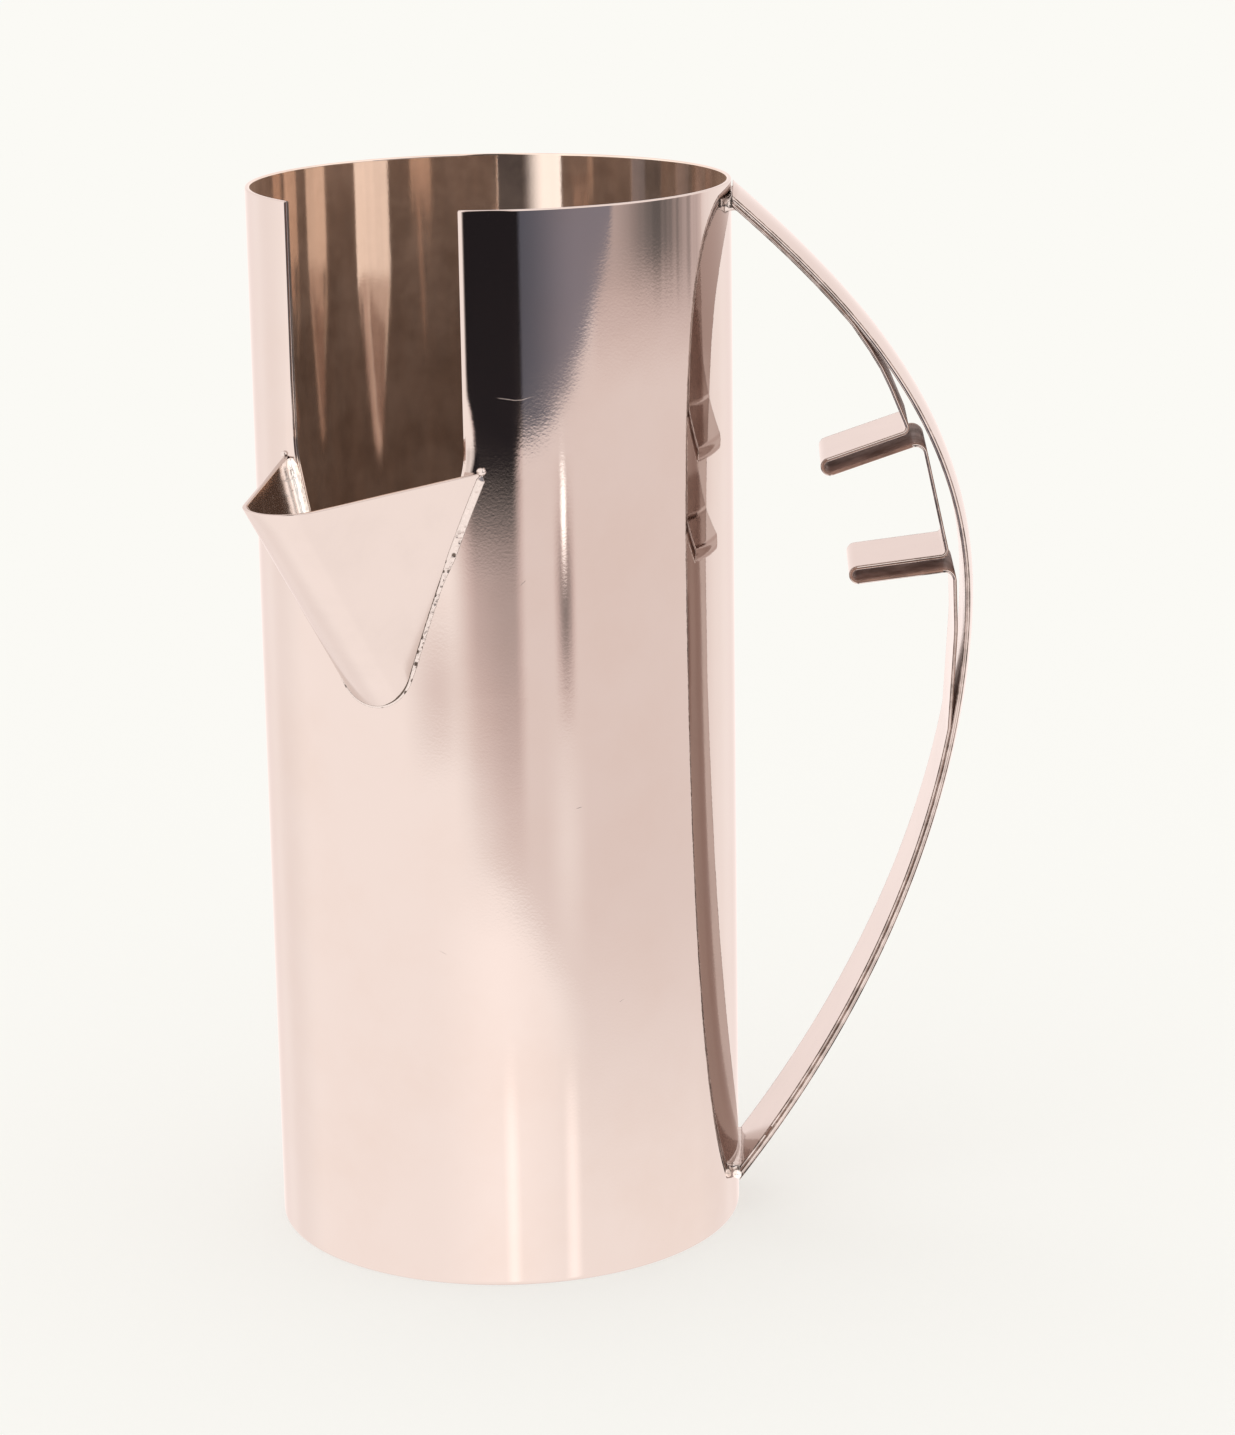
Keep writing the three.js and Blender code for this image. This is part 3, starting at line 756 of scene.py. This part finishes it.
def build_end_solder(name, end, material, run, reach, overlap, lump, seed):
    """Fills the corner inside one end of the handle: run along the body and reach along the handle."""
    height, slope = stack_corner(end)
    away = 1 if end == "foot" else -1
    half = STRAP_WIDTH / 2 - 0.25
    front = STRAP_END_REACH - FIT
    loops = []
    for across in spread(-half, half, 90):
        wall = wall_reach(across)
        swell = 1 + 0.25 * lumpy((0, across, 0), 1.3, seed)
        swell *= 1 - 0.5 * max(0.0, (abs(across) - half + 0.8) / 0.8) ** 2  # thinner at the sides
        tip = Vector((STRAP_END_REACH, height)) + slope * reach * swell
        tip -= Vector((slope.y, -slope.x)) * FIT * away
        foot = Vector((wall, height + away * run * swell))
        middle = Vector((wall + 0.45 * (tip.x - wall), height + away * run * 0.42 * swell))
        back = height - away * overlap
        section = [Vector((wall, back)), Vector((front, back)), Vector((front, height)), tip]
        for t in spread(0, 1, 9)[1:]:
            u = 1 - t
            at = tip * (u * u) + middle * (2 * u * t) + foot * (t * t)
            place = (at.x, across, at.y)
            bump = lump * sin(pi * t) * (lumpy(place, 0.9, seed) + 0.6 * lumpy(place, 0.35, seed))
            section.append(at + Vector((bump, away * bump)))
        loops.append([(p.x, across, p.y) for p in section])
    node = f"handle_{end}_solder"
    add_piece(name, flat(loops), capped(loops), material, [node])


def build_handle_solder(material, bright):
    build_end_solder("top_collar", "top", material, run=1.3, reach=1.2, overlap=1.6, lump=0.16, seed=17)
    build_end_solder("foot_bead", "foot", material, run=0.75, reach=0.7, overlap=1.2, lump=0.04, seed=23)
    height, _ = stack_corner("foot")
    side = -STRAP_WIDTH / 2 + 0.1
    start = wall_reach(side) + 0.2
    centres, radii = [], []
    for turn in spread(0.06 * pi, 0.94 * pi, 16):
        share = (1 - cos(turn)) / 2
        centres.append((start + FOOT_DROP_LENGTH * share, side, height - FOOT_DROP_FALL + 0.2 * share))
        radii.append(FOOT_DROP_RADIUS * sin(turn))
    build_bead("foot_drop", centres, radii, bright, "handle_foot_solder", lump=0.03, seed=29)


# ---- shader helpers

class NodeMaker:
    """Makes shader nodes in one tree. Values are numbers, colours or other nodes' outputs."""

    def __init__(self, tree):
        self.tree = tree

    def new(self, kind):
        return self.tree.nodes.new("ShaderNode" + kind)

    def put(self, value, socket):
        if isinstance(value, (int, float)):
            socket.default_value = value
        elif isinstance(value, tuple):
            socket.default_value = (*value, 1)
        else:
            self.tree.links.new(value, socket)

    def calc(self, operation, value, *others):
        """Math nodes. After the first two values, one more node takes in each further one."""
        for other in others or (0.5,):
            node = self.new("Math")
            node.operation = operation
            self.put(value, node.inputs[0])
            self.put(other, node.inputs[1])
            value = node.outputs[0]
        return value

    def plus(self, *values):
        return self.calc("ADD", *values)

    def minus(self, *values):
        return self.calc("SUBTRACT", *values)

    def times(self, *values):
        return self.calc("MULTIPLY", *values)

    def ramp(self, value, low, high, start=0.0, end=1.0):
        """Goes smoothly from start to end as value goes from low to high."""
        node = self.new("MapRange")
        node.interpolation_type = "SMOOTHSTEP"
        for socket, level in zip(node.inputs, (value, low, high, start, end)):
            self.put(level, socket)
        return node.outputs["Result"]

    def ramp_mm(self, metres, low, high, start=0.0, end=1.0):
        """As ramp(), with low and high in millimetres."""
        return self.ramp(metres, low * MM, high * MM, start, end)

    def bell(self, value, centre, width):
        """1 at the centre, falling smoothly to 0 a width away on either side."""
        return self.ramp(self.calc("ABSOLUTE", self.minus(value, centre)), 0.0, width, 1.0, 0.0)

    def mix(self, factor, first, second, mode="MIX"):
        node = self.new("Mix")
        node.data_type = "RGBA"
        node.blend_type = mode
        for name, value in (("Factor", factor), ("A", first), ("B", second)):
            self.put(value, node.inputs[name])
        return node.outputs["Result"]

    def noise(self, vector, scale, detail=2.0, roughness=0.5):
        node = self.new("TexNoise")
        looks = (("Vector", vector), ("Scale", scale), ("Detail", detail), ("Roughness", roughness))
        for name, value in looks:
            self.put(value, node.inputs[name])
        return node.outputs["Fac"]

    def vector(self, x, y, z):
        node = self.new("CombineXYZ")
        for socket, value in zip(node.inputs, (x, y, z)):
            self.put(value, socket)
        return node.outputs[0]

    def split(self, vector):
        node = self.new("SeparateXYZ")
        self.put(vector, node.inputs[0])
        return node.outputs

    def axis_distance(self, x, y):
        return self.calc("SQRT", self.plus(self.times(x, x), self.times(y, y)))

    def bumped(self, *layers):
        """The normal, bumped by layers of (height, depth in millimetres)."""
        normal = None
        for height, depth in layers:
            node = self.new("Bump")
            self.put(1.0, node.inputs["Strength"])
            self.put(depth * MM, node.inputs["Distance"])
            self.put(height, node.inputs["Height"])
            if normal:
                self.put(normal, node.inputs["Normal"])
            normal = node.outputs[0]
        return normal


# ---- materials

def start_metal(name, color, metallic=1):
    """A Principled metal, its node maker, its inputs, and its position in space, whole and split up."""
    material = bpy.data.materials.new(name)
    material.use_nodes = True
    n = NodeMaker(material.node_tree)
    inputs = n.tree.nodes["Principled BSDF"].inputs
    n.put(metallic, inputs["Metallic"])
    n.put(color, inputs["Base Color"])
    place = n.new("TexCoord").outputs["Object"]
    return material, n, inputs, place, n.split(place)


def darker(color, share):
    return tuple(share * c for c in color)


def scratch_mask(n, angle, z):
    """1 on the scratches, from the angle round the body in degrees and the height in metres."""
    total = None
    for degrees, height, half_length, half_width, tilt in SCRATCHES:
        along = n.times(n.minus(angle, degrees), math.radians(1) * BODY_RADIUS)
        up = n.minus(n.calc("DIVIDE", z, MM), height)
        across = n.minus(up, n.times(along, tilt))
        mark = n.times(n.bell(along, 0, half_length), n.bell(across, 0, half_width))
        total = n.calc("MAXIMUM", total, mark) if total else mark
    return total


def brushed_silver():
    """The body: ground round the body in fine lines, worn smooth, and dull and brown inside."""
    material, n, inputs, place, (x, y, z) = start_metal("brushed_silver", SILVER_COLOR)
    radius = n.axis_distance(x, y)
    angle = n.calc("DEGREES", n.calc("ARCTAN2", y, x))
    inside = n.ramp_mm(radius, BODY_RADIUS - 0.55 * WALL, BODY_RADIUS - 0.75 * WALL)
    rings = n.vector(n.times(x, 0.12), n.times(y, 0.12), z)
    staves = n.vector(x, y, n.times(z, 0.04))
    smudges = n.noise(place, 34, 4, 0.6)
    scratches = scratch_mask(n, angle, z)

    # Hammering and rolling leave very slight waves in the wall, under the grinding's fine rings.
    waves = ((n.noise(staves, 170, 3), 0.01), (n.noise(place, 75, 1), 0.012))
    grinding = ((n.noise(rings, 3600, 3, 0.6), 0.0001), (n.noise(place, 1900, 1), 0.0017))
    n.put(n.bumped(*waves, *grinding, (scratches, 0.01)), inputs["Normal"])

    shine = n.ramp(smudges, *SMUDGES, *BODY_ROUGHNESS)
    n.put(n.plus(shine, n.times(inside, 0.03), n.times(scratches, 0.3)), inputs["Roughness"])
    n.put(0.6, inputs["Anisotropic"])
    n.put(n.vector(0, 0, 1), inputs["Tangent"])

    tarnish = n.ramp(n.noise(staves, 60, 4, 0.65), 0.35, 0.7)
    dulled = n.mix(tarnish, DULL_COLOR, darker(DULL_COLOR, 0.88))
    worn = n.mix(n.ramp(smudges, *WEAR), SILVER_COLOR, WORN_COLOR)
    worn = n.mix(n.times(scratches, 0.4), worn, SCRATCH_COLOR)
    n.put(n.mix(inside, worn, dulled), inputs["Base Color"])
    clouds = n.ramp(n.noise(place, 95, 4, 0.65), 0.25, 0.75, 0.55, 1.4)
    n.put(INNER_GLOW, inputs["Emission Color"])
    n.put(n.times(inside, clouds, n.ramp_mm(z, 165, 215, 0.55, 1)), inputs["Emission Strength"])
    return material


def spout_silver():
    """The spout: as the body outside, with painted shade, a dark line in tarnish colour, in the corner along
    the seam.
    """
    material, n, inputs, place, (x, y, z) = start_metal("spout_silver", SILVER_COLOR)
    rings = n.vector(n.times(x, 0.05), n.times(y, 0.05), z)
    smudges = n.noise(place, 60, 4, 0.6)
    layers = ((n.noise(place, 120, 1), 0.012), (n.noise(rings, 2200), 0.0016), (n.noise(place, 2100), 0.0016))
    n.put(n.bumped(*layers), inputs["Normal"])
    n.put(n.ramp(smudges, *SMUDGES, *SPOUT_ROUGHNESS), inputs["Roughness"])

    # Painted shade: a dark line in the crease where the spout meets the body, wider on the flanks and low
    # down.
    across = n.minus(n.times(y, cos(SPOUT_AZIMUTH)), n.times(x, sin(SPOUT_AZIMUTH)))
    reach = n.times(n.ramp_mm(across, 1, 7, 0, 0.34 * MM), n.ramp_mm(z, 166, 156, 0.55, 1))
    ragged = n.times(n.noise(place, 900), 0.2 * MM)
    beyond = n.minus(n.axis_distance(x, y), ragged, reach)
    seam = n.ramp_mm(beyond, BODY_RADIUS + 0.12, BODY_RADIUS + 0.04)
    worn = n.mix(n.ramp(smudges, *WEAR), SILVER_COLOR, darker(SILVER_COLOR, 0.96))
    n.put(n.mix(seam, worn, TARNISH_AND_SHADE_COLOR), inputs["Base Color"])
    return material


def polished_silver():
    """The handle: polished along its length, with painted shade in dark lines and mottling near the edges."""
    material, n, inputs, place, (x, y, z) = start_metal("polished_silver", SILVER_COLOR)
    smudges = n.noise(place, 55, 4, 0.6)
    lengths = n.vector(n.times(x, 0.05), y, n.times(z, 0.05))
    layers = ((n.noise(lengths, 2600), 0.0014), (n.noise(place, 140, 1), 0.008),
              (n.noise(place, 2000), 0.0014))
    n.put(n.bumped(*layers), inputs["Normal"])
    n.put(n.ramp(smudges, *SMUDGES, *HANDLE_ROUGHNESS), inputs["Roughness"])

    # Painted shade: dark lines and mottling along the edges, except on the finger rests.
    side = n.calc("ABSOLUTE", y)
    half = STRAP_WIDTH / 2
    streaks = n.ramp(n.noise(n.vector(x, 0, z), 160, 5, 0.7), 0.42, 0.6)
    rests = n.times(n.ramp_mm(z, 138, 142), n.ramp_mm(z, 186, 182), n.ramp_mm(x, 92, 86))
    lines = n.times(n.ramp_mm(side, half - 0.35, half - 0.1), streaks, n.minus(1, rests))
    mottled_heights = n.calc("MAXIMUM", n.ramp_mm(z, 182, 200), n.ramp_mm(z, 128, 92, 0, 0.9))
    mottled = n.times(n.ramp(n.noise(place, 420, 4, 0.7), 0.44, 0.56), mottled_heights,
                      n.ramp_mm(side, half - 0.12, half - 0.02))
    painted_edge_shade = n.times(n.calc("MAXIMUM", lines, mottled), 0.9)

    worn = n.mix(n.ramp(smudges, *WEAR), SILVER_COLOR, darker(SILVER_COLOR, 0.95))
    facing, _, _ = n.split(n.new("NewGeometry").outputs["Normal"])
    # Painted shade: faces turned to the body are darker and greyer, high on the handle.
    body_side_shade = n.times(n.ramp(facing, -0.2, -0.4), n.ramp_mm(z, 176, 182), 0.8)
    worn = n.mix(body_side_shade, worn, BODY_SIDE_SHADE_COLOR)
    n.put(n.mix(painted_edge_shade, worn, TARNISH_AND_SHADE_COLOR), inputs["Base Color"])
    return material


def sheltered_silver():
    """The ribbon's side that faces the strap and lines the finger rests, where no cloth reaches."""
    material, n, inputs, place, _ = start_metal("sheltered_silver", SHELTERED_COLOR, 0)
    clouds = n.noise(place, 160, 3, 0.6)
    browned = n.ramp(clouds, *SHELTERED_CLOUDS)
    color = n.mix(browned, SHELTERED_COLOR, darker(SHELTERED_COLOR, 0.5))
    n.put(color, inputs["Base Color"])
    n.put(0.12, inputs["Specular IOR Level"])
    n.put(SHELTERED_GLOW, inputs["Emission Color"])
    n.put(n.ramp(clouds, *SHELTERED_CLOUDS, 1.2, 0.6), inputs["Emission Strength"])
    n.put(n.ramp(clouds, *SHELTERED_CLOUDS, *SHELTERED_ROUGHNESS), inputs["Roughness"])
    n.put(n.bumped((n.noise(place, 900, 3), 0.004)), inputs["Normal"])
    return material


def silver_solder(name, glow=(0, 0, 0)):
    """Solder: bright and lumpy, with dark pits along the seam and at the handle's top."""
    material, n, inputs, place, (_, _, z) = start_metal(name, SOLDER_COLOR, 0.85)
    n.put(glow, inputs["Emission Color"])
    n.put(n.ramp(n.noise(place, 700), 0.3, 0.42, 0.3, 1.1), inputs["Emission Strength"])
    rough = n.times(n.ramp_mm(z, 120, 126), n.ramp_mm(z, 166, 158))
    rough = n.calc("MAXIMUM", rough, n.ramp_mm(z, 206, 214))
    lumps = n.times(n.noise(place, 1100, 3, 0.6), rough)
    cells = n.new("TexVoronoi")
    for socket, value in (("Vector", place), ("Scale", 620), ("Randomness", 1)):
        n.put(value, cells.inputs[socket])
    pit = n.times(n.ramp(cells.outputs["Distance"], 0.36, 0.18),
                  n.ramp(n.noise(place, 130, 1), 0.34, 0.46), rough)
    n.put(n.bumped((lumps, 0.05), (n.minus(1, pit), 0.1)), inputs["Normal"])
    n.put(n.mix(pit, SOLDER_COLOR, TARNISH_AND_SHADE_COLOR), inputs["Base Color"])
    n.put(n.ramp(lumps, 0.3, 0.7, *SOLDER_ROUGHNESS), inputs["Roughness"])
    return material


# ---- studio

def stage_mesh(name, points, faces, material):
    mesh = bpy.data.meshes.new(name)
    mesh.from_pydata(points, [], faces)
    mesh.materials.append(material)
    obj = bpy.data.objects.new(name, mesh)
    bpy.context.scene.collection.objects.link(obj)
    return obj


def surround_material():
    """What the silver mirrors: a white tent, dark in a gap on the camera's side, with a greyer right half."""
    material = bpy.data.materials.new("surround")
    material.use_nodes = True
    material.cycles.emission_sampling = "NONE"
    n = NodeMaker(material.node_tree)
    n.tree.nodes.clear()
    x, y, z = n.split(n.new("NewGeometry").outputs["Position"])
    turn = n.calc("ARCTAN2", x, n.times(y, -1))
    azimuth = n.minus(n.calc("DEGREES", turn), SURROUND_TURN)
    rise = n.calc("DEGREES", n.calc("ARCSINE", n.calc("DIVIDE", z, SURROUND_RADIUS)))

    def by_azimuth(low, high, *levels):
        return n.ramp(azimuth, low, high, *levels)

    def by_rise(low, high, *levels):
        return n.ramp(rise, low, high, *levels)

    def dim(light, level, *masks):
        """Multiplies the light by level where all the masks are 1."""
        return n.times(light, n.plus(1, n.times(n.minus(level, 1), *masks)))

    def spot(light, level, middle, half_width, height, half_height):
        return dim(light, level, n.bell(azimuth, middle, half_width), n.bell(rise, height, half_height))

    # The right half of the table is greyer further away, from a line that runs up to the left.
    slant = n.plus(azimuth, by_rise(-19, -16, -38, 0))
    light = dim(1, by_rise(-22.5, -16.5, 0.97, 0.76), n.ramp(slant, -18, 5),
                by_azimuth(132, 112), by_rise(5, -5))
    light = spot(light, *TABLE_GLOW)
    # A soft shade straight towards the camera.
    shade = n.times(by_rise(-17.4, -12.4, 1, 0.56), by_rise(-12.4, -10.4, 1, 0.12),
                    by_rise(-10.8, -9.6, 1, 0.35))
    light = dim(light, shade, by_azimuth(-24, -9), by_azimuth(14, 7))
    light = spot(light, *SHADE_END)
    # A narrow dark upright to its right with a glint in it, and two bright streaks low down.
    light = spot(light, *UPRIGHT)
    light = spot(light, *GLINT)
    low = n.times(by_rise(-19, -21), by_rise(-30, -26))
    light = dim(light, 1.17, n.bell(azimuth, 0.5, 5), low)
    light = dim(light, 1.2, n.bell(azimuth, 30.5, 5.5), low)
    light = dim(light, 1.08, n.bell(azimuth, -4, 36), by_rise(-16.5, -18), by_rise(-30, -26))
    # The right half darkens higher up, with a dark corner.
    high = by_rise(14, 8)
    light = dim(light, 0.6, by_rise(-9.3, -7.1), by_azimuth(45, 52), by_azimuth(125, 105), high)
    light = dim(light, 0.36, by_rise(-8, -6.8), n.bell(azimuth, 84, 30), high)
    folds = n.noise(n.vector(n.times(azimuth, 0.16), 0, 0), 1, 1)
    light = dim(light, 0.62, n.ramp(n.plus(rise, folds), -7.6, -6.7), n.ramp(folds, 0.42, 0.58),
                n.bell(azimuth, 98, 34), high)
    # The far side is duller.
    away = n.calc("ABSOLUTE", azimuth)
    light = dim(light, 0.86, n.ramp(away, 105, 135))
    light = dim(light, 0.84, n.ramp(away, 140, 160))

    warmth = n.times(n.ramp(light, 1, 0.5), n.ramp(light, 0.05, 0.3))
    tint = n.mix(warmth, SURROUND_LIGHT, SURROUND_SHADE)
    color = n.mix(1, tint, light, "MULTIPLY")

    # The dark gap, whose lower edge curves up to the right.
    share = n.calc("DIVIDE", n.calc("MAXIMUM", n.minus(azimuth, 11), 0), 45)
    curve = n.times(n.calc("POWER", share, 2), 2.8)
    above = n.minus(rise, n.plus(by_azimuth(8, 13, -10.6, -10), curve))
    gap = n.times(n.ramp(above, -0.2, 0.3), by_azimuth(60.5, 57.5), by_azimuth(-28, -16), by_rise(16, 10))
    blue_grey = n.mix(by_azimuth(12, 42), GAP_BLUE, GAP_GREY)
    color = n.mix(gap, color, n.mix(by_azimuth(12, 14.5), GAP_DARK, blue_grey))

    emission = n.new("Emission")
    output = n.new("OutputMaterial")
    n.put(color, emission.inputs["Color"])
    n.put(emission.outputs[0], output.inputs["Surface"])
    return material


def build_surround():
    """A sphere far round the pitcher that only mirror rays see."""
    turns = spread(0, 2 * pi, 96)[:-1]
    tilts = spread(-0.4999 * pi, 0.4999 * pi, 48)
    loops = []
    for tilt in tilts:
        radius, height = SURROUND_RADIUS * cos(tilt), SURROUND_RADIUS * sin(tilt)
        loops.append([polar(turn, radius, height) for turn in turns])
    sphere = stage_mesh("surround", flat(loops), bridge(loops), surround_material())
    for kind in ("camera", "diffuse", "transmission", "volume_scatter", "shadow"):
        setattr(sphere, "visible_" + kind, False)


def build_floor():
    """A matt floor that is as light as the world, and that mirror rays don't see."""
    material = bpy.data.materials.new("floor")
    material.use_nodes = True
    n = NodeMaker(material.node_tree)
    looks = (("Base Color", (FLOOR_GREY,) * 3), ("Roughness", 0.9), ("Specular IOR Level", 0),
             ("Emission Color", WORLD_COLOR), ("Emission Strength", 1 - FLOOR_GREY))
    for name, value in looks:
        n.put(value, n.tree.nodes["Principled BSDF"].inputs[name])
    half = FLOOR_HALF_WIDTH
    points = [(-half, -half, 0), (half, -half, 0), (half, half, 0), (-half, half, 0)]
    floor = stage_mesh("floor", points, [(0, 1, 2, 3)], material)
    floor.visible_glossy = False


def build_world():
    world = bpy.data.worlds.new("studio")
    world.use_nodes = True
    world.node_tree.nodes["Background"].inputs["Color"].default_value = (*WORLD_COLOR, 1)
    bpy.context.scene.world = world
    bpy.context.scene.view_settings.view_transform = "Standard"


def add_camera():
    data = bpy.data.cameras.new("camera")
    data.sensor_width = 36
    data.lens = CAMERA_LENS
    data.clip_start = 0.01
    camera = bpy.data.objects.new("camera", data)
    bpy.context.scene.collection.objects.link(camera)
    place = Matrix.Translation(turned((0, -CAMERA_DISTANCE, CAMERA_HEIGHT), CAMERA_AZIMUTH))
    aim = Matrix.Rotation(CAMERA_HEADING, 4, "Z") @ Matrix.Rotation(pi / 2 - CAMERA_TILT, 4, "X")
    camera.matrix_world = place @ aim @ Matrix.Rotation(CAMERA_ROLL, 4, "Z")
    bpy.context.scene.camera = camera


# ---- scene

silver = brushed_silver()
spout_metal = spout_silver()
polished = polished_silver()
sheltered_metal = sheltered_silver()
solder_metal = silver_solder("silver_solder")
run_solder = silver_solder("silver_solder_run", RUN_GLOW)

build_tube(silver)
build_base(silver, solder_metal)
build_spout(spout_metal)
build_seam(solder_metal)
build_corner_beads(solder_metal)
build_inner_run(run_solder)
build_handle(polished, sheltered_metal)
build_handle_solder(solder_metal, run_solder)

build_surround()
build_floor()
build_world()
add_camera()
